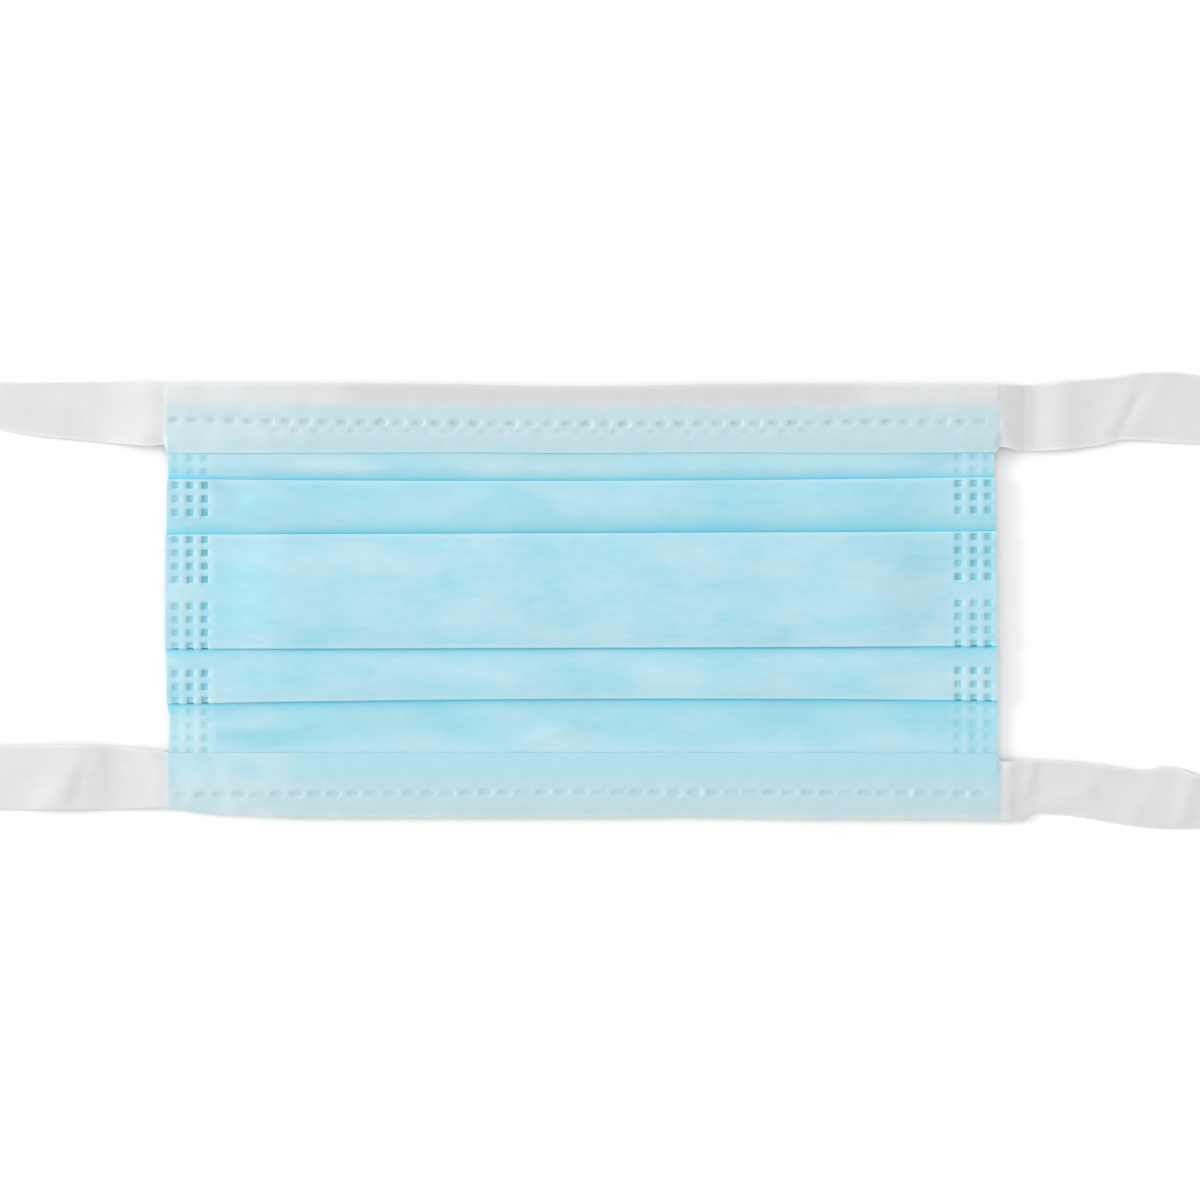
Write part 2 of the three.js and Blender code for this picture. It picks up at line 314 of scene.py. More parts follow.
# Heights of the layers' middle surfaces across half the panel, in its open middle and at its pinched sides
CENTRE_PROFILE = rows(
    ("out", "open", "pinched"),
    (0.0, 3.85, 2.3),
    (4.0, 3.8, 2.3),
    (8.0, 3.45, 2.3),
    (10.5, 2.9, 2.4),
    (12.05, 2.42, 2.5),
)
PLEAT_PROFILE = rows(
    ("out", "open", "pinched"),
    (1.5, 0.4, 1.45),
    (7.0, 0.55, 1.45),
    (10.0, 1.0, 1.55),
    (12.05, 1.62, 1.75),
    (15.0, 2.3, 2.15),
    (18.5, 2.6, 2.15),
    (21.5, 2.15, 2.15),
    (23.4, 1.58, 2.15),
)
FLANGE_PROFILE = rows(
    ("out", "open", "pinched"),
    (14.0, 0.3, 1.35),
    (20.0, 0.35, 1.35),
    (23.4, 0.74, 1.35),
    (26.0, 1.1, 1.4),
)

TOP_LAYERS = (Layer.CENTRE, Layer.PLEAT, Layer.FLANGE)

# How far each fold strays from straight, at the left end, the middle and the right end
STRAY_LINES = rows(
    ("y", "left", "middle", "right"),
    (-43.6, 1.5, 0.0, -0.4),
    (-32.3, 0.0, 0.0, 0.0),
    (-21.5, -0.5, 0.6, 0.2),
    (-10.1, -0.2, 0.0, 0.4),
    (14.0, -0.2, 0.1, 0.5),
    (25.3, 0.2, -0.2, 0.6),
    (40.4, 0.0, 0.0, 0.0),
)

# The side edges of the panel's visible stretches, from the chin edge up
SIDE_EDGES = rows(
    ("y", "left", "right"),
    (-43.6, -90.9, 83.8),
    (-24.0, -90.8, 83.8),
    (-21.6, -91.3, 83.9),
    (-10.3, -91.5, 83.8),
    (-9.9, -91.7, 83.7),
    (13.8, -91.6, 83.5),
    (14.2, -91.4, 83.4),
    (25.2, -91.3, 83.3),
    (25.6, -91.1, 83.0),
    (40.4, -91.1, 83.4),
)

# Groups of weld rows at both sides, counted down from the first
WELD_GROUPS = rows(
    ("first", "count", "strength"),
    (29.8, 2, 0.3),
    (24.1, 3, 0.95),
    (12.9, 4, 0.95),
    (-1.1, 4, 0.8),
    (-15.2, 3, 0.85),
    (-23.4, 5, 0.3),
)
WELD_COLUMNS = rows(
    ("x", "strength"),
    (-89.4, 0.6),
    (-86.4, 0.85),
    (-83.3, 1.0),
    (75.5, 0.8),
    (78.8, 0.85),
    (81.8, 0.75),
)

# The pale ridges of cloth pressed up between and beside the weld columns
WELD_RIDGES = rows(
    ("x", "strength"),
    (-87.9, 0.4),
    (-84.85, 0.55),
    (-81.8, 0.5),
    (74.1, 0.3),
    (77.15, 0.6),
    (80.3, 0.6),
)

# How much deeper the blue is over a whole stretch
STRETCH_DEPTHS = {
    (Edge.NOSE, Layer.PLEAT): 0.16,
    (Edge.CHIN, Layer.FLANGE): 0.2,
    (Edge.NOSE, Layer.FLANGE): 0.04,
}

# Soft patches of deeper blue, above nought, and of paler blue, below it
# The deeper patches in the panel's dents and the long one above the centre's nose fold are painted shade.
TONE_PATCHES = rows(
    ("x", "y", "long", "wide", "depth"),
    (-76.6, 23.6, 3.4, 1.9, 0.24),
    (-72.0, -29.6, 9.0, 1.5, 0.3),
    (-36.0, -26.0, 16.0, 3.6, 0.12),
    (30.0, 15.6, 50.0, 1.7, 0.34),
    (40.0, -25.0, 22.0, 2.6, 0.1),
    (-53.0, 28.0, 7.0, 1.5, -0.45),
    (-10.0, 28.5, 12.0, 1.6, -0.25),
    (-11.0, -28.8, 6.0, 2.6, -0.6),
    (-30.0, -15.5, 7.0, 2.6, -0.3),
    (-76.0, -26.0, 8.0, 1.2, -0.3),
    (52.0, 2.0, 14.0, 6.0, -0.14),
    (-60.0, 8.0, 12.0, 3.0, -0.12),
    (66.0, -17.0, 10.0, 2.6, -0.2),
    (-86.5, -27.5, 4.0, 5.0, -0.7),
    (-5.0, -32.2, 110.0, 2.4, -0.42),
    (70.0, 30.0, 8.0, 0.9, 0.4),
    (78.0, 27.5, 5.0, 1.6, -0.3),
    (30.0, 28.6, 60.0, 2.0, -0.2),
    (-72.0, 29.2, 26.0, 2.2, -0.4),
    (60.0, -29.5, 7.0, 1.3, -0.35),
    (48.0, 23.0, 16.0, 1.8, 0.12),
)

# Shallow dents and low ridges of the panel: a bell across the line from one end to the other
PANEL_DENTS = rows(
    ("x0", "y0", "x1", "y1", "width", "height"),
    (-79.0, 24.0, -76.0, 21.5, 2.4, -0.5),
    (-79.0, -29.6, -64.0, -30.4, 1.8, -0.35),
    (-78.0, -26.6, -62.0, -26.8, 1.2, 0.25),
    (-17.0, -31.0, -6.0, -26.5, 1.6, 0.3),
    (-60.0, 28.6, -45.0, 27.4, 1.2, 0.2),
    (71.0, 28.6, 78.0, 30.4, 1.1, -0.35),
)


@dataclass
class PleatedPanel:
    """The welded plies as one folded sheet, with weld pits in three columns at each side."""

    lie: Lie
    thickness: float = 0.32
    fold_radius: float = 0.2
    centre_line: float = 1.95
    centre_half: float = 12.05
    outer_half: float = 23.4
    inner_depth: float = 10.5
    outer_depth: float = 9.05
    nose_edge: float = 40.4
    chin_edge: float = -43.6
    nose_band_edge: float = 31.0
    chin_band_edge: float = -32.3
    weld_pitch: float = 2.8
    weld_half: float = 0.62
    weld_rim: float = 0.2
    weld_depth: float = 0.3
    ridge_height: float = 0.09
    ridge_width: float = 0.55
    crevice_shade_width: float = 1.15
    fold_shade_width: float = 2.8
    fold_shade_share: float = 0.5
    lip_highlight_width: float = 1.1
    lip_highlight_share: float = 0.3
    floor_gap: float = 0.03
    wave_lift: float = 0.12
    turn_steps: int = 8
    visible_step: float = 0.75
    hidden_step: float = 2.2
    column_step: float = 1.15

    def weld_rows(self) -> list[Row]:
        """Every weld row with its strength, counted down from the first of each group."""
        return [
            {"y": group["first"] - step * self.weld_pitch, "strength": group["strength"]}
            for group in WELD_GROUPS
            for step in range(int(group["count"]))
        ]

    def pit_marks(self, centres: list[float]) -> list[float]:
        """Grid lines at the middle, the floor's edge and the rim of each pit."""
        offsets = (0.0, self.weld_half, self.weld_half + self.weld_rim)
        return [centre + sign * offset for centre in centres for offset in offsets for sign in (-1, 1)]

    def half_rows(self, edge: Edge) -> list[tuple[Layer, Layer | None, float, float]]:
        """The rows of half the panel from its centre out, in the order that the cloth runs.

        Args:
            edge: Which half is meant.

        Returns:
            For each row its layer, the layer below it in a turn or None, its distance out from the centre
            line, and its angle in a turn in radians.
        """
        side = edge.value
        reach = side * ((self.nose_edge if edge is Edge.NOSE else self.chin_edge) - self.centre_line)
        inset = self.fold_radius + self.thickness / 2
        row_marks = self.pit_marks([row["y"] for row in self.weld_rows()])
        marks = [side * (y - self.centre_line) for y in row_marks]
        inner_fold, outer_fold = self.centre_half - inset, self.outer_half - inset
        inner_tuck = self.centre_half - self.inner_depth + inset
        outer_tuck = self.outer_half - self.outer_depth + inset
        rows: list[tuple[Layer, Layer | None, float, float]] = []

        def run(layer: Layer, start: float, stop: float, covered_to: float) -> None:
            """Adds a straight stretch, fine where it shows and coarse where a layer covers it.

            Args:
                layer: The stretch.
                start: Its distance out where the cloth enters it.
                stop: Its distance out where the cloth leaves it.
                covered_to: The distance out up to which another layer covers it.
            """
            low, high = min(start, stop), max(start, stop)
            bare = max(low, min(covered_to, high))
            hidden = stations([], low, bare, self.hidden_step)[:-1] if bare > low else np.array([])
            shown = stations(marks, bare, high, self.visible_step) if bare < high else np.array([high])
            places = np.concatenate([hidden, shown])
            if start > stop:
                places = places[::-1]
            rows.extend((layer, None, float(out), 0.0) for out in places)

        def turn(upper: Layer, lower: Layer, out: float, start: float, stop: float) -> None:
            """Adds the inside rows of a half turn between two layers.

            Args:
                upper: The layer over the turn.
                lower: The layer under it.
                out: The distance out of its centre.
                start: The first angle.
                stop: The last angle.
            """
            angles = np.linspace(start, stop, self.turn_steps + 1)[1:-1]
            rows.extend((upper, lower, out, float(angle)) for angle in angles)

        right, half_circle = math.pi / 2, math.pi
        run(Layer.CENTRE, 0.0, inner_fold, 0.0)
        turn(Layer.CENTRE, Layer.INNER_RETURN, inner_fold, right, -right)
        run(Layer.INNER_RETURN, inner_fold, inner_tuck, inner_fold)
        turn(Layer.INNER_RETURN, Layer.PLEAT, inner_tuck, right, right + half_circle)
        run(Layer.PLEAT, inner_tuck, outer_fold, self.centre_half - 0.6)
        turn(Layer.PLEAT, Layer.OUTER_RETURN, outer_fold, right, -right)
        run(Layer.OUTER_RETURN, outer_fold, outer_tuck, outer_fold)
        turn(Layer.OUTER_RETURN, Layer.FLANGE, outer_tuck, right, right + half_circle)
        run(Layer.FLANGE, outer_tuck, reach, self.outer_half - 0.6)
        return rows

    def top_height(self, layer: Layer, out: Array, x: Array, edge: Edge) -> Array:
        """The height of the centre stretch, a pleat or a flange, from its open and pinched profiles.

        A flange also rises or falls in a smooth step to the plane of its bound edge.

        Args:
            layer: One of the top layers.
            out: Distances out from the centre line.
            x: Places along the mask.
            edge: Which half is meant.

        Returns:
            The heights of the layer's middle surface.
        """
        table = {
            Layer.CENTRE: CENTRE_PROFILE,
            Layer.PLEAT: PLEAT_PROFILE,
            Layer.FLANGE: FLANGE_PROFILE,
        }[layer]
        pinch = self.lie.pinch(x)
        opened = through(table, "out", "open", out)
        pinched = through(table, "out", "pinched", out)
        if layer is Layer.FLANGE:
            bound = self.nose_band_edge if edge is Edge.NOSE else self.chin_band_edge
            bound_out = edge.value * (bound - self.centre_line)
            rise = ease(self.outer_half + 0.6, bound_out, out)
            opened = opened + (self.lie.band_plane(edge) - opened) * rise
            pinched = pinched + (self.lie.band_plane(edge) - pinched) * rise
        return opened + (pinched - opened) * pinch

    def height(self, layer: Layer, out: Array, x: Array, edge: Edge) -> Array:
        """The height of any layer.

        A return leaves its fold close under one layer and ends close over the next: upper height minus the
        fold's width, easing to lower height plus the fold's width.

        Args:
            layer: The layer.
            out: Distances out from the centre line.
            x: Places along the mask.
            edge: Which half is meant.

        Returns:
            The heights of the layer's middle surface.
        """
        if layer in TOP_LAYERS:
            return self.top_height(layer, out, x, edge)
        inner = layer is Layer.INNER_RETURN
        upper, lower = (Layer.CENTRE, Layer.PLEAT) if inner else (Layer.PLEAT, Layer.FLANGE)
        fold = self.centre_half if inner else self.outer_half
        tuck = fold - (self.inner_depth if inner else self.outer_depth)
        width = 2 * self.fold_radius
        above = self.top_height(upper, out, x, edge) - width
        below = self.top_height(lower, out, x, edge) + width
        share = ease(tuck + 1.0, fold - 1.0, out)
        return below + (above - below) * share

    def half_surface(self, edge: Edge, columns: Array) -> tuple[Array, Array, Array]:
        """Half the panel, row by row.

        In a turn the distance is the fold's centre plus its radius times the cosine of the angle, and the
        height is midway between the two layers plus the radius times the sine.

        Args:
            edge: Which half is meant.
            columns: Places along the mask.

        Returns:
            The distance out and the height for each row and column, and each row's layer as its number in
            Layer.
        """
        rows = self.half_rows(edge)
        out = np.zeros((len(rows), len(columns)))
        height = np.zeros_like(out)
        layers = np.array([list(Layer).index(row[0]) for row in rows])
        for number, (layer, lower, place, angle) in enumerate(rows):
            spot = np.full(columns.shape, place)
            top = self.height(layer, spot, columns, edge)
            if lower is None:
                out[number], height[number] = place, top
                continue
            bottom = self.height(lower, spot, columns, edge)
            radius = (top - bottom) / 2
            out[number] = place + self.fold_radius * math.cos(angle)
            height[number] = bottom + radius + radius * math.sin(angle)
        return out, height, layers

    def stray(self, y: Array, share: Array) -> Array:
        """How far a place strays along Y: a parabola through its line's left, middle and right values.

        Args:
            y: Places across the flat lying panel.
            share: How far each lies along the panel, from 0 at the left side to 1 at the right.

        Returns:
            The shifts.
        """
        knots = [row["y"] for row in STRAY_LINES]
        left, middle, right = (
            np.interp(y, knots, [row[end] for row in STRAY_LINES]) for end in ("left", "middle", "right")
        )
        side = 2 * share - 1
        return middle + (right - left) / 2 * side + ((left + right) / 2 - middle) * side * side

    def side_shift(self, x: Array, y: Array) -> Array:
        """Moves the outermost millimetre of cloth in or out, to each stretch's own side edge.

        Args:
            x: Places along the mask.
            y: Places across it.

        Returns:
            The shifts along X.
        """
        knots = [row["y"] for row in SIDE_EDGES]
        left = np.interp(y, knots, [row["left"] for row in SIDE_EDGES]) - self.lie.left
        right = np.interp(y, knots, [row["right"] for row in SIDE_EDGES]) - self.lie.right
        return left * ease(self.lie.left + 1.4, self.lie.left, x) + right * ease(
            self.lie.right - 1.0, self.lie.right, x
        )

    def pits(self, x: Array, y: Array) -> Array:
        """The depth share of the weld pits: square plateaus where a column and a row cross.

        Each pit's strength is its column's times its row's, less a random share that the waves give.

        Args:
            x: Places along the mask.
            y: Places across it.

        Returns:
            1 on the floor of the deepest pits, and 0 outside the pits.
        """
        across = np.zeros_like(x)
        for column in WELD_COLUMNS:
            square = column["strength"] * plateau(x - column["x"], self.weld_half, self.weld_rim)
            across = np.maximum(across, square)
        along = np.zeros_like(y)
        for row in self.weld_rows():
            square = row["strength"] * plateau(y - row["y"], self.weld_half, self.weld_rim)
            along = np.maximum(along, square)
        return across * along * (0.86 + 0.14 * ripples(x, y, 5.0, seed=23))

    def ridges(self, x: Array, y: Array) -> Array:
        """Low ridges between and beside the weld columns, over the rows of each weld group.

        Args:
            x: Places along the mask.
            y: Places across it.

        Returns:
            The ridges' height shares.
        """
        across = np.zeros_like(x)
        for ridge in WELD_RIDGES:
            across = np.maximum(across, ridge["strength"] * bell(x - ridge["x"], self.ridge_width))
        along = np.zeros_like(y)
        for group in WELD_GROUPS:
            half = (group["count"] - 1) * self.weld_pitch / 2
            reach = plateau(y - (group["first"] - half), half + 0.6, 0.8)
            along = np.maximum(along, reach * (0.35 + 0.65 * group["strength"]))
        return across * along * (0.75 + 0.25 * ripples(x, y, 3.0, seed=29))

    def tones(self, x: Array, flat_y: Array, edges: Array, layers: Array) -> dict[str, Array]:
        """How deep and how pale the blue is, and where it is a crevice.

        The painted crevice shade beside a fold fades out over under a millimetre, and painted shade keeps
        the blue deeper for a few more. Whole stretches and oval patches are deeper or paler. A fold's lip
        has a painted highlight.

        Args:
            x: Places along the mask.
            flat_y: Places across it, before they stray.
            edges: Each row's edge value.
            layers: Each row's layer number.

        Returns:
            The masks deep, crease and pale.
        """
        out = np.abs(flat_y - self.centre_line)
        crease = np.zeros_like(x)
        deep = np.zeros_like(x)
        lip_highlight = np.zeros_like(x)
        order = list(Layer)
        for layer, fold in ((Layer.PLEAT, self.centre_half), (Layer.FLANGE, self.outer_half)):
            here = (layers == order.index(layer))[:, None]
            beside = out - fold
            uneven = 0.8 + 0.35 * ripples(x, flat_y * 0.1, 26.0, seed=31)
            # Painted crevice shade: a saturated blue line in the crevice beside each covering fold.
            crease = np.where(here, (0.35 + 0.8 * uneven) * ease(self.crevice_shade_width, 0.1, beside), crease)
            # Painted shade: the blue is deeper for a few millimetres beside each covering fold.
            deep = np.where(here, self.fold_shade_share * uneven * ease(self.fold_shade_width, 0.2, beside), deep)
        for layer, fold in ((Layer.CENTRE, self.centre_half), (Layer.PLEAT, self.outer_half)):
            here = (layers == order.index(layer))[:, None]
            # Painted highlight: a pale line along the lip of each fold.
            lip_highlight = np.where(here, self.lip_highlight_share * ease(fold - self.lip_highlight_width, fold - 0.4, out), lip_highlight)
        for (edge, layer), depth in STRETCH_DEPTHS.items():
            here = (layers == order.index(layer)) & (edges == edge.value)
            deep = deep + depth * here[:, None]
        shift = np.zeros_like(x)
        for patch in TONE_PATCHES:
            oval = np.hypot((x - patch["x"]) / patch["long"], (flat_y - patch["y"]) / patch["wide"])
            shift = shift + patch["depth"] * bell(oval, 1.0)
        deep = np.clip(deep + np.maximum(shift, 0.0), 0.0, 1.0)
        # The pale mask holds the pale ridges and patches and the painted highlight on the fold lips.
        pale = np.clip(np.maximum(self.ridges(x, flat_y), lip_highlight) + np.maximum(-shift, 0.0), 0.0, 1.0)
        return {"deep": deep, "crease": np.clip(crease, 0.0, 1.0), "pale": pale}

    def build(self) -> bpy.types.Object:
        """Works out the whole folded surface and its wall.

        Returns:
            The panel, without a material.
        """
        places = [column["x"] for column in WELD_COLUMNS]
        marks = self.pit_marks(places) + [ridge["x"] for ridge in WELD_RIDGES]
        edges = [self.lie.left + 0.5, self.lie.right - 0.5]
        columns = stations([*marks, *edges], self.lie.left, self.lie.right, self.column_step)
        nose_out, nose_height, nose_layers = self.half_surface(Edge.NOSE, columns)
        chin_out, chin_height, chin_layers = (
            part[:0:-1] for part in self.half_surface(Edge.CHIN, columns)
        )
        flat_y = np.concatenate([self.centre_line - chin_out, self.centre_line + nose_out])
        height = np.concatenate([chin_height, nose_height])
        layers = np.concatenate([chin_layers, nose_layers])
        halves = np.repeat([Edge.CHIN.value, Edge.NOSE.value], [len(chin_layers), len(nose_layers)])
        x = np.broadcast_to(columns, flat_y.shape)
        share = (x - self.lie.left) / (self.lie.right - self.lie.left)
        y = flat_y + self.stray(flat_y, share)
        bound = ease(self.nose_band_edge, self.nose_band_edge - 5, y) * ease(
            self.chin_band_edge, self.chin_band_edge + 5, y
        )
        height = height + self.unevenness(x, y) * bound
        height = np.maximum(height, self.thickness / 2 + self.floor_gap)
        on_top = np.isin(layers, [list(Layer).index(top) for top in TOP_LAYERS])[:, None]
        pit = self.pits(x, flat_y) * on_top
        tones = self.tones(x, flat_y, halves, layers)
        middle = np.stack([x + self.side_shift(x, flat_y), y, height], axis=-1)
        step = np.linalg.norm(np.diff(middle[..., 1:], axis=0), axis=-1)
        length = np.concatenate([np.zeros((1, len(columns))), np.cumsum(step, axis=0)])
        half = np.full_like(x, self.thickness / 2)
        wall = ClothWall(
            name="pleated_filter_panel",
            middle=middle,
            outer=half - self.weld_depth * pit + self.ridge_height * self.ridges(x, flat_y) * on_top,
            inner=half,
            cloth=np.stack([x, length], axis=-1),
            masks={"weld": pit} | {name: mask * on_top for name, mask in tones.items()},
        )
        return wall.build()

    def unevenness(self, x: Array, y: Array) -> Array:
        """Slow and quick waves of the free cloth and its dents, the same for every layer at a place.

        The free cloth is lifted by wave_lift, so that its waves keep the lowest layer off the table.

        Args:
            x: Places along the mask.
            y: Places across it.

        Returns:
            What is added to the heights.
        """
        free = 1 - self.lie.pinch(x)
        slow = 0.16 * ripples(x, y, 34.0, seed=5)
        quick = 0.05 * ripples(x, y * 1.6, 12.0, seed=7)
        dents = np.zeros_like(x)
        for dent in PANEL_DENTS:
            dents = dents + dent["height"] * bell(from_segment(x, y, dent), dent["width"])
        return free * (slow + quick + self.wave_lift) + dents


# ---------------------------------------------------------------- the folded tie bands

NOSE_BAND_TABLE = rows(
    ("x", "low", "high"),
    (-129.5, 36.7, 45.9),
    (-121.2, 35.0, 45.8),
    (-110.7, 33.9, 46.0),
    (-100.2, 32.9, 46.0),
    (-94.9, 32.5, 46.0),
    (-92.0, 32.7, 45.8),
    (-91.1, 31.2, 45.8),
    (-88.0, 31.0, 45.8),
    (-60.0, 31.0, 45.7),
    (-30.0, 31.1, 45.4),
    (-5.0, 31.0, 44.95),
    (5.0, 31.0, 45.0),
    (20.0, 31.1, 45.35),
    (60.0, 31.0, 45.6),
    (80.0, 31.1, 45.5),
    (83.4, 31.1, 45.5),
    (84.3, 32.3, 45.5),
    (89.6, 31.4, 45.3),
    (94.9, 31.6, 45.5),
    (100.2, 32.0, 46.2),
    (105.4, 32.7, 46.6),
    (110.7, 33.9, 47.2),
    (116.0, 33.7, 47.9),
    (121.2, 33.3, 47.9),
    (126.3, 33.1, 47.2),
    (129.5, 33.0, 46.8),
)
CHIN_BAND_TABLE = rows(
    ("x", "low", "high"),
    (-129.5, -44.1, -30.6),
    (-105.4, -44.1, -30.6),
    (-100.2, -44.1, -31.0),
    (-94.9, -43.9, -31.6),
    (-91.6, -43.9, -32.0),
    (-90.4, -44.0, -32.3),
    (-84.0, -44.9, -32.3),
    (-74.0, -45.5, -32.3),
    (-60.0, -46.0, -32.3),
    (0.0, -46.0, -32.3),
    (15.0, -45.8, -32.3),
    (40.0, -46.2, -32.3),
    (75.0, -46.4, -32.4),
    (83.6, -46.6, -32.5),
    (84.6, -46.6, -34.1),
    (89.4, -46.5, -33.9),
    (91.9, -44.75, -33.9),
    (94.9, -45.1, -33.9),
    (100.2, -45.5, -34.2),
    (105.4, -46.4, -34.8),
    (110.7, -47.2, -35.6),
    (116.0, -47.9, -36.1),
    (119.1, -48.0, -35.2),
    (121.2, -48.0, -35.4),
    (126.3, -47.9, -37.1),
    (129.5, -47.7, -38.2),
)

# Creases and ridges of the ties: a bell across the line from one end to the other
NOSE_CREASES = rows(
    ("x0", "y0", "x1", "y1", "width", "height"),
    (107.6, 34.6, 113.4, 47.6, 2.6, 0.28),
    (109.2, 34.6, 113.6, 42.6, 1.2, -0.2),
    (112.4, 35.0, 119.4, 47.6, 2.6, 0.26),
    (96.6, 30.0, 97.4, 47.0, 4.4, 0.65),
    (89.4, 31.5, 89.4, 45.5, 0.7, -0.16),
    (84.9, 36.6, 86.2, 35.4, 0.9, 0.22),
    (-129.0, 40.5, -114.0, 38.0, 2.8, 0.25),
    (-110.0, 45.0, -99.0, 34.0, 3.6, 0.2),
)
CHIN_CREASES = rows(
    ("x0", "y0", "x1", "y1", "width", "height"),
    (-117.0, -43.4, -108.0, -34.0, 3.0, 0.36),
    (-111.0, -42.0, -108.0, -33.0, 1.6, -0.2),
    (-112.0, -46.0, -112.0, -29.0, 9.0, 0.8),
    (86.4, -45.6, 86.6, -35.0, 1.0, 0.14),
    (90.4, -39.5, 91.4, -34.5, 1.4, 0.25),
    (91.0, -43.8, 103.3, -39.8, 1.5, 0.3),
    (92.5, -45.2, 104.0, -42.0, 1.2, 0.14),
    (122.6, -47.0, 125.4, -36.5, 1.8, 0.26),
    (112.0, -46.0, 117.0, -38.0, 2.8, 0.22),
)


@dataclass
class DashRow:
    """A row of oval weld dashes across a band, on a curved line, over part of the panel's width."""

    line: list[Row]
    pitch: float
    length: float
    width: float
    start: float
    stop: float
    strength: float = 1.0
    seed: int = 41

    def centres(self) -> list[float]:
        """The dashes' places along X."""
        count = int((self.stop - self.start) // self.pitch)
        return [self.start + step * self.pitch for step in range(count + 1)]

    def marks(self) -> list[float]:
        """Grid lines at both ends of each dash."""
        offsets = (self.length / 2, self.length / 2 + 0.25)
        return [c + sign * offset for c in self.centres() for offset in offsets for sign in (-1, 1)]

    def local(self, x: Array, y: Array) -> tuple[Array, Array, Array]:
        """Places from the nearest dash's middle, and which dash that is.

        Args:
            x: Places along the mask.
            y: Places across it.

        Returns:
            The distances along and across, and the dash's number.
        """
        number = np.clip(np.round((x - self.start) / self.pitch), 0, len(self.centres()) - 1)
        line = through(self.line, "x", "y", x)
        return x - self.start - number * self.pitch, y - line, number.astype(int)

    def pits(self, x: Array, y: Array) -> Array:
        """Depth shares: a plateau inside each oval (x / half length) squared + (y / half width) squared.

        Args:
            x: Places along the mask.
            y: Places across it.

        Returns:
            The shares, each dash with its own random part of the strength.
        """
        across, up, number = self.local(x, y)
        oval = np.hypot(across / (self.length / 2), up / (self.width / 2))
        chance = np.random.default_rng(self.seed).uniform(0.55, 1.0, len(self.centres()))
        return self.strength * ease(1.2, 0.9, oval) * chance[number]

    def glints(self, x: Array, y: Array) -> Array:
        """Pale crescents at the dashes' right ends: bells round a line bowed by y squared.

        Args:
            x: Places along the mask.
            y: Places across it.

        Returns:
            How pale each place is. Some dashes have no crescent.
        """
        across, up, number = self.local(x, y)
        random = np.random.default_rng(self.seed + 1)
        chance = random.uniform(-0.3, 0.9, len(self.centres()))[number]
        bend = random.uniform(0.3, 1.3, len(self.centres()))[number]
        shift = random.uniform(-0.25, 0.25, len(self.centres()))[number]
        bow = self.length / 2 + shift - bend * ((up - shift) / self.width) ** 2
        reach = ease(1.0, 0.4, np.abs(up - shift) / self.width)
        return self.strength * bell(across - bow, 0.24) * reach * np.maximum(chance, 0.0)


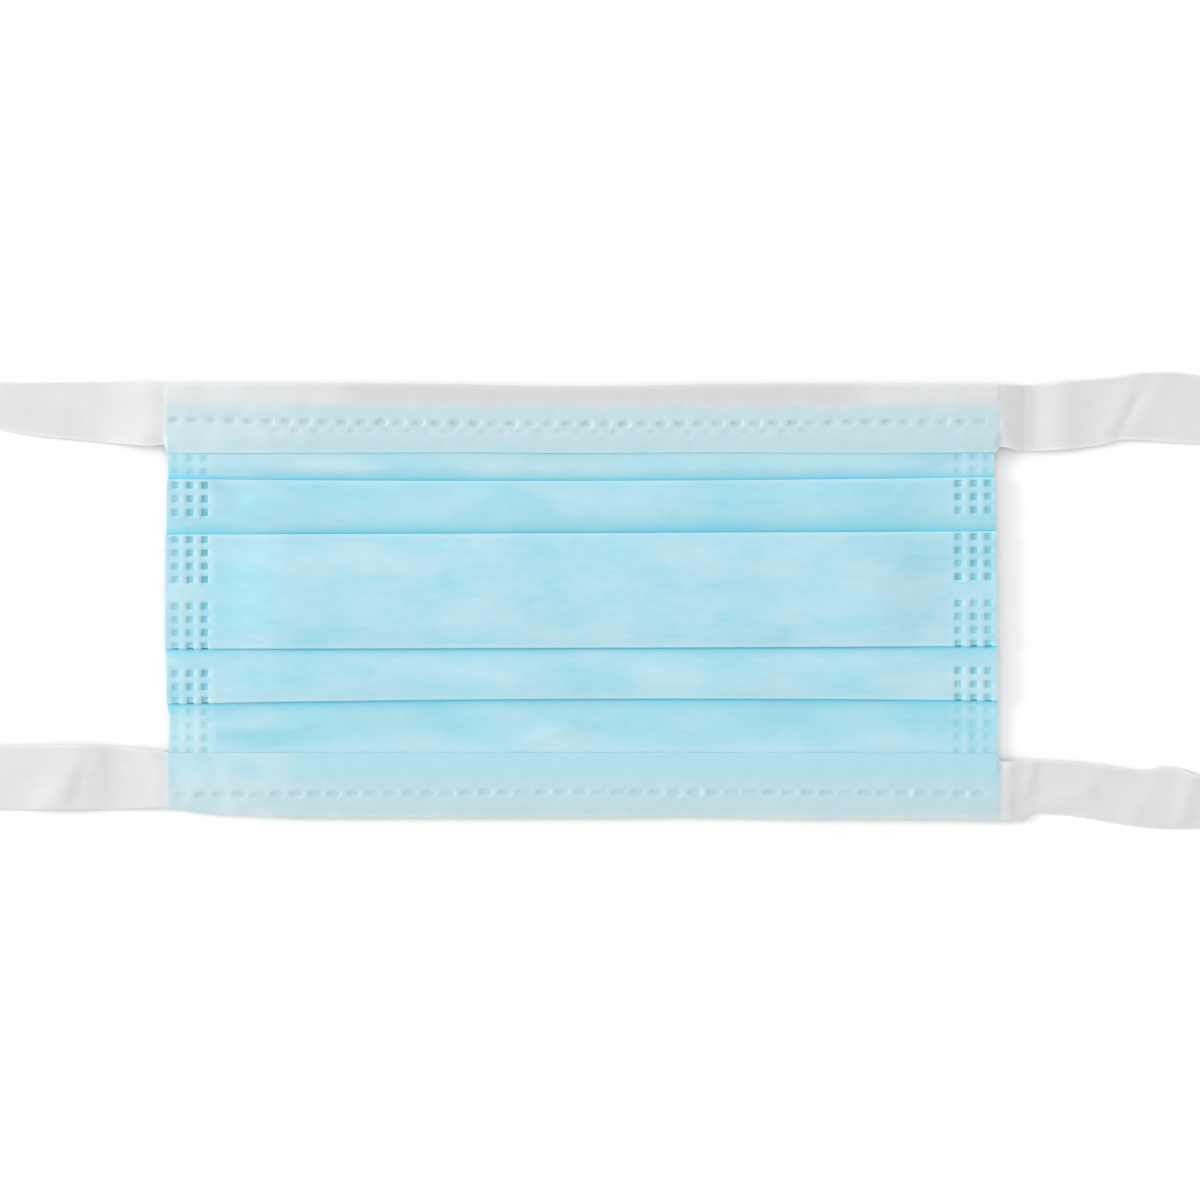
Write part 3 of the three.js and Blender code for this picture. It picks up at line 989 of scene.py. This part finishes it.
@dataclass
class TieBand:
    """One strip folded lengthwise round a long edge of the panel, and on past both sides as two ties."""

    lie: Lie
    edge: Edge
    name: str
    table: list[Row]
    creases: list[Row]
    panel_edge: float
    panel_sides: tuple[float, float]
    dash_rows: list[DashRow]
    veil_width: float
    left_drop: float
    right_drop: float
    wire_half: float = 0.0
    crisp_half: float = 60.0
    thickness: float = 0.2
    fold_radius: float = 0.55
    tie_radius: float = 0.17
    tie_plane: float = 0.3
    flap_rise: float = 0.62
    flap_touch: float = 0.24
    under_touch: float = 0.32
    side_step: float = 0.1
    weld_depth: float = 0.27
    flap_short: float = 0.5
    turn_steps: int = 8
    flap_rows: int = 34
    under_rows: int = 12
    column_step: float = 0.62

    def columns(self) -> Array:
        """Grid lines along X, through every dash's ends and round the panel's sides.

        Returns:
            The lines in rising order.
        """
        marks = [mark for row in self.dash_rows for mark in row.marks()]
        for side, sign in zip(self.panel_sides, (-1, 1)):
            marks += [side + sign * offset for offset in (0.0, 0.15, 0.4, 0.7, 1.2)]
        reach = self.table[-1]["x"]
        return stations(marks, -reach, reach, self.column_step)

    def over_panel(self, x: Array, reach: float) -> Array:
        """1 over the panel, falling in a smooth step to 0 within reach past its sides."""
        left, right = self.panel_sides
        return ease(left - reach, left, x) * ease(right + reach, right, x)

    def drops(self, x: Array) -> Array:
        """0 over the panel, rising in smooth steps to 1 where the ties lie on the table."""
        left, right = self.panel_sides
        return ease(left + 0.6, left - self.left_drop, x) + ease(right - 0.6, right + self.right_drop, x)

    def build(self) -> bpy.types.Object:
        """Works out the folded strip, row by row from one free edge round the fold to the other.

        A row is q in from the fold and h off the fold's middle plane. In the turn q is the radius less its
        cosine share and h its sine share.

        Returns:
            The band, without a material.
        """
        side = self.edge.value
        columns = self.columns()
        low = through(self.table, "x", "low", columns)
        high = through(self.table, "x", "high", columns)
        fold, free = (high, low) if self.edge is Edge.NOSE else (low, high)
        width = np.abs(fold - free)
        drop = self.drops(columns)
        radius = self.fold_radius + (self.tie_radius - self.fold_radius) * drop
        plane = self.lie.band_plane(self.edge)
        plane = plane + (self.tie_plane - plane) * drop
        share = np.linspace(1.0, 0.0, self.flap_rows + 1)[:, None]
        upper_q = radius + (width - radius) * share
        angles = np.linspace(math.pi / 2, -math.pi / 2, self.turn_steps + 1)[1:-1][:, None]
        under_share = np.linspace(0.0, 1.0, self.under_rows + 1)[:, None]
        lower_q = radius + (width - self.flap_short - radius) * under_share
        upper_h = self.flap_height(upper_q, width, radius, drop, self.flap_touch)
        lower_h = -self.flap_height(lower_q, width - self.flap_short, radius, drop, self.under_touch)
        q = np.concatenate([upper_q, radius - radius * np.cos(angles), lower_q])
        h = np.concatenate([upper_h, radius * np.sin(angles), lower_h])
        x = np.broadcast_to(columns, q.shape)
        y = fold - side * q
        upper = (np.arange(len(q)) <= self.flap_rows)[:, None]
        over = self.over_panel(x, 0.8)
        pit = np.zeros_like(x)
        glint = np.zeros_like(x)
        for row in self.dash_rows:
            pit = np.maximum(pit, row.pits(x, y) * over * upper)
            glint = np.maximum(glint, row.glints(x, y) * over * upper)
        z = plane + h + upper * (self.side_step * over - self.weld_depth * pit)
        z = z + upper * over * (0.03 * ripples(x, y, 9.0, seed=17) + 0.03 * ripples(x, y, 4.0, seed=19))
        z = z + self.wrinkles(x, y)
        fuzz = 0.3 * ripples(x, y, 11.0, seed=13) + 0.12 * ripples(x, y, 2.6, seed=15)
        ends = 1 - plateau(x, self.crisp_half, 12.0)
        soft = 1.25 + 1.1 * ends
        tint = over * ease(-soft, soft, side * (self.panel_edge - y) + fuzz)
        from_free = width - q + 0.5 * ripples(x, y, 5.0, seed=37)
        veil = ease(self.veil_width, 0.3 * self.veil_width, from_free) * upper
        glint = np.maximum(glint, 0.35 * ends * (0.6 + 0.5 * ripples(x, y, 8.0, seed=43)) * over * (x < 0))
        wire = plateau(x, self.wire_half, 9.0) * (1 - tint) * over if self.wire_half else np.zeros_like(x)
        order = slice(None) if self.edge is Edge.NOSE else slice(None, None, -1)
        around = np.broadcast_to(self.run_length(q, h), q.shape)
        half = np.full(q.shape, self.thickness / 2)
        # The pale mask here is the painted highlight of the glints.
        masks = {"tint": tint, "wire": wire, "weld": pit, "pale": glint, "veil": veil * tint}
        wall = ClothWall(
            name=self.name,
            middle=np.stack([x, y, z], axis=-1)[order],
            outer=half,
            inner=half,
            cloth=np.stack([x, around], axis=-1)[order],
            masks={name: mask[order] for name, mask in masks.items()},
        )
        return wall.build()

    def run_length(self, q: Array, h: Array) -> Array:
        """The length of cloth from the upper free edge to each row, along the strip's middle column.

        Args:
            q: How far in from the fold each place is.
            h: How far off the fold's middle plane it is.

        Returns:
            One length for each row.
        """
        column = q.shape[1] // 2
        steps = np.hypot(np.diff(q[:, column]), np.diff(h[:, column]))
        return np.concatenate([[0.0], np.cumsum(steps)])[:, None]

    def flap_height(self, q: Array, width: Array, radius: Array, drop: Array, touch: float) -> Array:
        """How far a flap stands off the fold's middle plane, q in from the fold.

        Over the panel it rises from the fold's radius to flap_rise and comes down to its touch height at
        its free edge. On a tie it is level at the fold's radius.

        Args:
            q: Places in from the fold.
            width: The flap's width at each column.
            radius: The fold's radius at each column.
            drop: 0 over the panel and 1 on a tie.
            touch: The height at the free edge.

        Returns:
            The heights.
        """
        rise = ease(0.0, 3.0, q - radius)
        puffed = self.fold_radius + (self.flap_rise - self.fold_radius) * rise
        puffed = puffed + (touch - puffed) * ease(3.5, 0.3, width - q)
        return radius + (puffed - radius) * ease(0.35, 0.0, drop)

    def wrinkles(self, x: Array, y: Array) -> Array:
        """Creases and slight waves of the ties, which only ever lift them.

        Args:
            x: Places along the mask.
            y: Places across it.

        Returns:
            What is added to the heights.
        """
        lift = np.zeros_like(x)
        for crease in self.creases:
            lift = lift + crease["height"] * bell(from_segment(x, y, crease), crease["width"])
        past = 1 - self.over_panel(x, 5.0)
        wave = 0.15 + 0.14 * ripples(x, y, 17.0, seed=11 + self.edge.value)
        outside = 1 - self.over_panel(x, 0.8)
        return np.maximum(lift * outside + wave * past, 0.0)


# ---------------------------------------------------------------- finishes


@dataclass
class NodeSheet:
    """A material's node tree, with short calls that add and join its nodes."""

    name: str
    material: bpy.types.Material = field(init=False)

    def __post_init__(self) -> None:
        """Starts from the default tree, which holds a Principled shader and the output."""
        self.material = bpy.data.materials.new(self.name)
        self.material.use_nodes = True

    @property
    def shader(self) -> bpy.types.Node:
        """The Principled shader."""
        return self.material.node_tree.nodes["Principled BSDF"]

    def add(self, kind: str, **settings: object) -> bpy.types.Node:
        """A new node of a kind.

        Args:
            kind: The node's type name.
            settings: Properties to set on it, by name.

        Returns:
            The node.
        """
        node = self.material.node_tree.nodes.new(kind)
        for key, value in settings.items():
            setattr(node, key, value)
        return node

    def join(self, source: bpy.types.NodeSocket, target: bpy.types.NodeSocket) -> None:
        """Links one socket to another."""
        self.material.node_tree.links.new(source, target)

    def math(self, operation: str, a: object, b: object) -> bpy.types.NodeSocket:
        """A Math node.

        Args:
            operation: What it does.
            a: Its first socket or number.
            b: Its second.

        Returns:
            The result's socket.
        """
        node = self.add("ShaderNodeMath", operation=operation)
        for socket, value in zip(node.inputs, (a, b)):
            if isinstance(value, (int, float)):
                socket.default_value = value
            else:
                self.join(value, socket)
        return node.outputs[0]

    def mixed(self, share: object, a: object, b: object) -> bpy.types.NodeSocket:
        """A colour mix: a where the share is 0, b where it is 1.

        Args:
            share: A socket or a number.
            a: A socket or a colour.
            b: The same.

        Returns:
            The mixed colour's socket.
        """
        node = self.add("ShaderNodeMix", data_type="RGBA")
        for socket, value in ((node.inputs[0], share), (node.inputs[6], a), (node.inputs[7], b)):
            if isinstance(value, bpy.types.NodeSocket):
                self.join(value, socket)
            elif isinstance(value, tuple):
                socket.default_value = (*value, 1.0)
            else:
                socket.default_value = value
        return node.outputs[2]

    def attribute(self, name: str) -> bpy.types.NodeSocket:
        """A mask of the piece's own."""
        return self.add("ShaderNodeAttribute", attribute_name=name).outputs["Fac"]

    def stretched(
        self, value: bpy.types.NodeSocket, low: float, high: float, to: tuple[float, float]
    ) -> bpy.types.NodeSocket:
        """A value's range from low to high, spread over another range and held at its ends.

        Args:
            value: The value's socket.
            low: The start of its own range.
            high: The end of it.
            to: The start and the end of the other range.

        Returns:
            The result's socket.
        """
        node = self.add("ShaderNodeMapRange")
        self.join(value, node.inputs["Value"])
        node.inputs["From Min"].default_value = low
        node.inputs["From Max"].default_value = high
        node.inputs["To Min"].default_value = to[0]
        node.inputs["To Max"].default_value = to[1]
        return node.outputs["Result"]

    def cloth(self, size: tuple[float, float], turn: float = 0.0) -> bpy.types.NodeSocket:
        """The flat cloth's own coordinates.

        Args:
            size: The millimetres along and across that make one unit.
            turn: How far the grid is turned, in radians.

        Returns:
            The coordinates' socket.
        """
        place = self.add("ShaderNodeUVMap", uv_map="cloth")
        mapping = self.add("ShaderNodeMapping")
        mapping.inputs["Scale"].default_value = (CLOTH_UNIT / size[0], CLOTH_UNIT / size[1], 1.0)
        mapping.inputs["Rotation"].default_value = (0.0, 0.0, turn)
        self.join(place.outputs["UV"], mapping.inputs["Vector"])
        return mapping.outputs["Vector"]

    def noise(self, size: tuple[float, float], detail: float, turn: float = 0.0) -> bpy.types.NodeSocket:
        """Noise on the flat cloth.

        Args:
            size: About how long and wide its patches are, in millimetres.
            detail: How much finer noise it has.
            turn: How far it is turned, in radians.

        Returns:
            The noise's socket.
        """
        node = self.add("ShaderNodeTexNoise")
        node.inputs["Scale"].default_value = 1.0
        node.inputs["Detail"].default_value = detail
        self.join(self.cloth(size, turn), node.inputs["Vector"])
        return node.outputs["Fac"]

    def bond_points(self, pitch: float) -> bpy.types.NodeSocket:
        """A slanted grid of small round bond points.

        Args:
            pitch: The millimetres between two points.

        Returns:
            A socket with 1 in a point and 0 between them.
        """
        node = self.add("ShaderNodeTexVoronoi", feature="F1")
        node.inputs["Scale"].default_value = 1.0
        node.inputs["Randomness"].default_value = 0.15
        self.join(self.cloth((pitch, pitch), math.radians(45.0)), node.inputs["Vector"])
        return self.stretched(node.outputs["Distance"], 0.18, 0.36, (1.0, 0.0))


@dataclass(frozen=True)
class NonwovenFinish:
    """Spunbond cloth: cloudy with loosely laid fibres, and bonded at a grid of points."""

    name: str
    thin: Colour
    thick: Colour
    fused: Colour
    # deep is also the colour of the painted shade beside the folds and in the dents
    deep: Colour
    # pale is also the colour of the painted highlights on the fold lips and at the dashes' glints
    pale: Colour
    inside: Colour
    # crease is the colour of the painted shade in the crevices beside the folds
    crease: Colour = (0.2, 0.68, 0.87)
    bound: Colour = (0.5, 0.69, 0.74)
    veiled: Colour = (0.44, 0.67, 0.745)
    wire: Colour = (0.62, 0.63, 0.63)
    weld_share: float = 0.9
    cloud_size: tuple[float, float] = (17.0, 8.0)
    bond_pitch: float = 0.8
    bond_share: float = 0.03
    bond_relief: float = 0.5
    sheen: float = 0.06
    specular: float = 0.25
    roughness: float = 0.74
    relief: float = 0.035
    scatter: float = 0.35

    def mottle(self, sheet: NodeSheet) -> bpy.types.NodeSocket:
        """Clouds of thicker and thinner cloth: slow noise, and a little quicker noise.

        Args:
            sheet: The material's nodes.

        Returns:
            A socket with 0 where the cloth is thin and 1 where it is thick.
        """
        cloud = sheet.math("MULTIPLY", sheet.noise(self.cloud_size, 2.0), 0.72)
        patch = sheet.math("MULTIPLY", sheet.noise((3.4, 1.2), 3.0), 0.28)
        return sheet.stretched(sheet.math("ADD", cloud, patch), 0.34, 0.66, (0.0, 1.0))

    def material(self, masks: tuple[str, ...]) -> bpy.types.Material:
        """Builds the finish for a piece that carries these masks.

        Args:
            masks: Names of the piece's attributes, of tint, veil, wire, deep, crease, pale and weld.

        Returns:
            The material.
        """
        sheet = NodeSheet(self.name)
        tone = self.mottle(sheet)
        fibre = sheet.noise((0.9, 0.26), 5.0, math.radians(20.0))
        cross = sheet.noise((0.26, 0.9), 5.0, math.radians(-25.0))
        fibres = sheet.math("ADD", fibre, cross)
        points = sheet.bond_points(self.bond_pitch)
        colour = sheet.mixed(tone, self.thin, self.thick)
        if "tint" in masks:
            bound = sheet.mixed(tone, tuple(0.97 * part for part in self.bound), self.bound)
            bound = sheet.mixed(sheet.attribute("veil"), bound, self.veiled)
            colour = sheet.mixed(sheet.attribute("tint"), colour, bound)
        # Painted shade and highlights: crease is crevice shade, and deep and pale carry shade and
        # highlights besides the cloth's own tone.
        layers = {
            "wire": (1.0, self.wire),
            "deep": (1.0, self.deep),
            "crease": (1.0, self.crease),
            "pale": (1.0, self.pale),
            "weld": (self.weld_share, self.fused),
        }
        for name in (name for name in layers if name in masks):
            share, target = layers[name]
            colour = sheet.mixed(sheet.math("MULTIPLY", sheet.attribute(name), share), colour, target)
        grain = sheet.stretched(fibres, 0.7, 1.3, (0.0, 0.14))
        colour = sheet.mixed(grain, colour, self.deep)
        colour = sheet.mixed(sheet.math("MULTIPLY", points, self.bond_share), colour, self.fused)
        colour = sheet.mixed(sheet.attribute("inside"), colour, self.inside)
        sheet.join(colour, sheet.shader.inputs["Base Color"])
        rough = sheet.stretched(fibres, 0.7, 1.3, (self.roughness + 0.08, self.roughness - 0.08))
        sheet.join(rough, sheet.shader.inputs["Roughness"])
        sheet.shader.inputs["Specular IOR Level"].default_value = self.specular
        sheet.shader.inputs["Sheen Weight"].default_value = self.sheen
        sheet.shader.inputs["Subsurface Weight"].default_value = self.scatter
        sheet.shader.inputs["Subsurface Radius"].default_value = (0.8, 0.8, 0.8)
        sheet.shader.inputs["Subsurface Scale"].default_value = MILLIMETRE
        dimples = sheet.math("MULTIPLY", points, self.bond_relief)
        height = sheet.math("SUBTRACT", sheet.math("MULTIPLY", fibres, 0.8), dimples)
        bump = sheet.add("ShaderNodeBump")
        bump.inputs["Strength"].default_value = 0.5
        bump.inputs["Distance"].default_value = self.relief * MILLIMETRE
        sheet.join(height, bump.inputs["Height"])
        sheet.join(bump.outputs["Normal"], sheet.shader.inputs["Normal"])
        return sheet.material


@dataclass(frozen=True)
class WireFinish:
    """The nose wire's plastic cover."""

    colour: Colour = (0.56, 0.58, 0.59)
    dark: Colour = (0.46, 0.48, 0.49)
    roughness: tuple[float, float] = (0.4, 0.55)
    scratches: tuple[float, float, float] = (40.0, 2500.0, 2500.0)

    def material(self) -> bpy.types.Material:
        """A satin plastic with fine scratches along its length.

        Returns:
            The material.
        """
        sheet = NodeSheet("wire_cover")
        place = sheet.add("ShaderNodeTexCoord")
        mapping = sheet.add("ShaderNodeMapping")
        mapping.inputs["Scale"].default_value = self.scratches
        sheet.join(place.outputs["Object"], mapping.inputs["Vector"])
        noise = sheet.add("ShaderNodeTexNoise")
        noise.inputs["Scale"].default_value = 1.0
        sheet.join(mapping.outputs["Vector"], noise.inputs["Vector"])
        colour = sheet.mixed(noise.outputs["Fac"], self.colour, self.dark)
        sheet.join(colour, sheet.shader.inputs["Base Color"])
        rough = sheet.stretched(noise.outputs["Fac"], 0.3, 0.7, self.roughness)
        sheet.join(rough, sheet.shader.inputs["Roughness"])
        return sheet.material


BLUE_FINISH = NonwovenFinish(
    name="blue_spunbond",
    thin=(0.335, 0.635, 0.745),
    thick=(0.49, 0.695, 0.76),
    fused=(0.09, 0.53, 0.66),
    deep=(0.22, 0.585, 0.7),
    pale=(0.58, 0.75, 0.8),
    inside=(0.7, 0.715, 0.72),
)
NOSE_FINISH = NonwovenFinish(
    name="white_spunbond_nose",
    thin=(0.68, 0.684, 0.686),
    thick=(0.715, 0.722, 0.724),
    fused=(0.4, 0.54, 0.58),
    deep=(0.56, 0.6, 0.61),
    pale=(0.74, 0.82, 0.84),
    inside=(0.66, 0.67, 0.67),
    veiled=(0.45, 0.685, 0.76),
    weld_share=0.5,
    bond_share=0.012,
    bond_relief=0.1,
)
CHIN_FINISH = NonwovenFinish(
    name="white_spunbond_chin",
    thin=(0.67, 0.67, 0.673),
    thick=(0.713, 0.713, 0.717),
    fused=(0.4, 0.54, 0.58),
    deep=(0.56, 0.6, 0.61),
    pale=(0.7, 0.82, 0.86),
    inside=(0.66, 0.67, 0.67),
    bound=(0.475, 0.675, 0.73),
    veiled=(0.385, 0.665, 0.755),
    weld_share=0.45,
    bond_share=0.012,
    bond_relief=0.1,
)


# ---------------------------------------------------------------- the studio


@dataclass
class Studio:
    """A pale floor, soft light from the left and all round, and a camera straight above."""

    floor_colour: Colour = (0.93, 0.93, 0.93)
    floor_half: float = 2.5
    world: float = 0.97
    key_power: float = 56.0
    key_distance: float = 3.0
    key_elevation: float = 19.0
    key_heading: float = 169.0
    key_size: float = 0.95
    lens: float = 100.0
    sensor: float = 36.0
    view_width: float = 0.253
    view_height: float = 0.002

    def build(self) -> None:
        """Adds the floor, the lights and the camera, and sets the plain view transform."""
        self.floor()
        self.lights()
        self.camera()
        bpy.context.scene.view_settings.view_transform = "Standard"

    def floor(self) -> None:
        """A wide level square that isn't part of the mask."""
        half = self.floor_half
        mesh = bpy.data.meshes.new("floor")
        corners = [(-half, -half, 0.0), (half, -half, 0.0), (half, half, 0.0), (-half, half, 0.0)]
        mesh.from_pydata(corners, [], [(0, 1, 2, 3)])
        sheet = NodeSheet("pale_floor")
        sheet.shader.inputs["Base Color"].default_value = (*self.floor_colour, 1.0)
        sheet.shader.inputs["Roughness"].default_value = 1.0
        sheet.shader.inputs["Specular IOR Level"].default_value = 0.0
        mesh.materials.append(sheet.material)
        floor = bpy.data.objects.new("floor", mesh)
        bpy.context.scene.collection.objects.link(floor)

    def lights(self) -> None:
        """Even light from the sky, and one soft lamp low on the left."""
        world = bpy.data.worlds.new("sky")
        world.use_nodes = True
        world.node_tree.nodes["Background"].inputs["Color"].default_value = (1.0, 1.0, 1.0, 1.0)
        world.node_tree.nodes["Background"].inputs["Strength"].default_value = self.world
        bpy.context.scene.world = world
        lamp = bpy.data.lights.new("key", "AREA")
        lamp.energy = self.key_power
        lamp.shape = "SQUARE"
        lamp.size = self.key_size
        key = bpy.data.objects.new("key", lamp)
        heading, rise = math.radians(self.key_heading), math.radians(self.key_elevation)
        flat = self.key_distance * math.cos(rise)
        up = self.key_distance * math.sin(rise)
        key.location = (flat * math.cos(heading), flat * math.sin(heading), up)
        key.rotation_euler = (math.pi / 2 - rise, 0.0, heading + math.pi / 2)
        bpy.context.scene.collection.objects.link(key)

    def camera(self) -> None:
        """A long lens straight above the mask's origin, with the nose edge at the top of the view."""
        data = bpy.data.cameras.new("camera")
        data.lens = self.lens
        data.sensor_width = self.sensor
        camera = bpy.data.objects.new("camera", data)
        above = self.view_width * self.lens / self.sensor
        camera.location = (0.0, 0.0, self.view_height + above)
        bpy.context.scene.collection.objects.link(camera)
        bpy.context.scene.camera = camera


# ---------------------------------------------------------------- the mask


@dataclass
class Mask:
    """The whole mask: the panel, its two bands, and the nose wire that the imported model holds."""

    lie: Lie

    def panel(self) -> bpy.types.Object:
        """Builds and dresses the panel.

        Returns:
            The panel.
        """
        panel = PleatedPanel(self.lie)
        piece = panel.build()
        piece.data.materials.append(BLUE_FINISH.material(("deep", "crease", "pale", "weld")))
        return self.settle(piece, "pleated_panel")

    def band(self, band: TieBand, finish: NonwovenFinish, node: str) -> bpy.types.Object:
        """Builds and dresses one tie band.

        Args:
            band: The band.
            finish: Its cloth.
            node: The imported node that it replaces.

        Returns:
            The band's piece.
        """
        piece = band.build()
        piece.data.materials.append(finish.material(("tint", "veil", "wire", "pale", "weld")))
        return self.settle(piece, node)

    def settle(
        self, piece: bpy.types.Object, node: str
    ) -> bpy.types.Object:
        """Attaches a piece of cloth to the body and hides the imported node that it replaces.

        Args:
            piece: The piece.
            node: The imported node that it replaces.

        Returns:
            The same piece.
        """
        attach(piece, BODY)
        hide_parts(node)
        log.info("%s: %d faces, for %s", piece.name, len(piece.data.polygons), node)
        return piece

    def wire(self) -> None:
        """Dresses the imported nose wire."""
        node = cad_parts["nose_wire"]
        node.data.materials.clear()
        node.data.materials.append(WireFinish().material())
        log.info("nose_wire: dressed")


def nose_band(lie: Lie) -> TieBand:
    """The band over the nose edge, which holds the wire, with a full and a faint row of dashes.

    Args:
        lie: How the mask lies.

    Returns:
        The band, not built yet.
    """
    main_row = DashRow(
        line=rows(("x", "y"), (-90.0, 37.9), (0.0, 37.1), (83.0, 37.7)),
        pitch=3.95,
        length=2.3,
        width=1.2,
        start=-89.6,
        stop=81.5,
    )
    faint_row = DashRow(
        line=rows(("x", "y"), (-90.0, 36.0), (0.0, 35.4), (83.0, 35.9)),
        pitch=3.95,
        length=1.7,
        width=0.9,
        start=-67.9,
        stop=46.0,
        strength=0.45,
        seed=47,
    )
    return TieBand(
        lie=lie,
        edge=Edge.NOSE,
        name="nose_binding_and_ties",
        table=NOSE_BAND_TABLE,
        creases=NOSE_CREASES,
        panel_edge=41.1,
        panel_sides=(-91.2, 83.7),
        dash_rows=[main_row, faint_row],
        veil_width=2.2,
        left_drop=15.0,
        right_drop=8.5,
        wire_half=50.0,
        fold_radius=0.72,
        flap_rise=0.74,
    )


def chin_band(lie: Lie) -> TieBand:
    """The band over the chin edge, with one row of long dashes.

    Args:
        lie: How the mask lies.

    Returns:
        The band, not built yet.
    """
    main_row = DashRow(
        line=rows(("x", "y"), (-90.0, -41.1), (0.0, -40.5), (83.0, -40.9)),
        pitch=4.0,
        length=2.9,
        width=1.3,
        start=-88.0,
        stop=82.0,
        strength=0.8,
        seed=53,
    )
    return TieBand(
        lie=lie,
        edge=Edge.CHIN,
        name="chin_binding_and_ties",
        table=CHIN_BAND_TABLE,
        creases=CHIN_CREASES,
        panel_edge=-45.7,
        panel_sides=(-90.9, 83.9),
        dash_rows=[main_row],
        veil_width=8.5,
        left_drop=13.0,
        right_drop=9.0,
        fold_radius=0.45,
        flap_rise=0.62,
    )


def main() -> None:
    """Builds the studio and every piece."""
    logging.basicConfig(level=logging.INFO, format="%(message)s")
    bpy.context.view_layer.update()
    Studio().build()
    mask = Mask(Lie.from_frame())
    mask.panel()
    mask.band(nose_band(mask.lie), NOSE_FINISH, "nose_tie_band")
    mask.band(chin_band(mask.lie), CHIN_FINISH, "chin_tie_band")
    mask.wire()


if __name__ == "__main__":
    main()
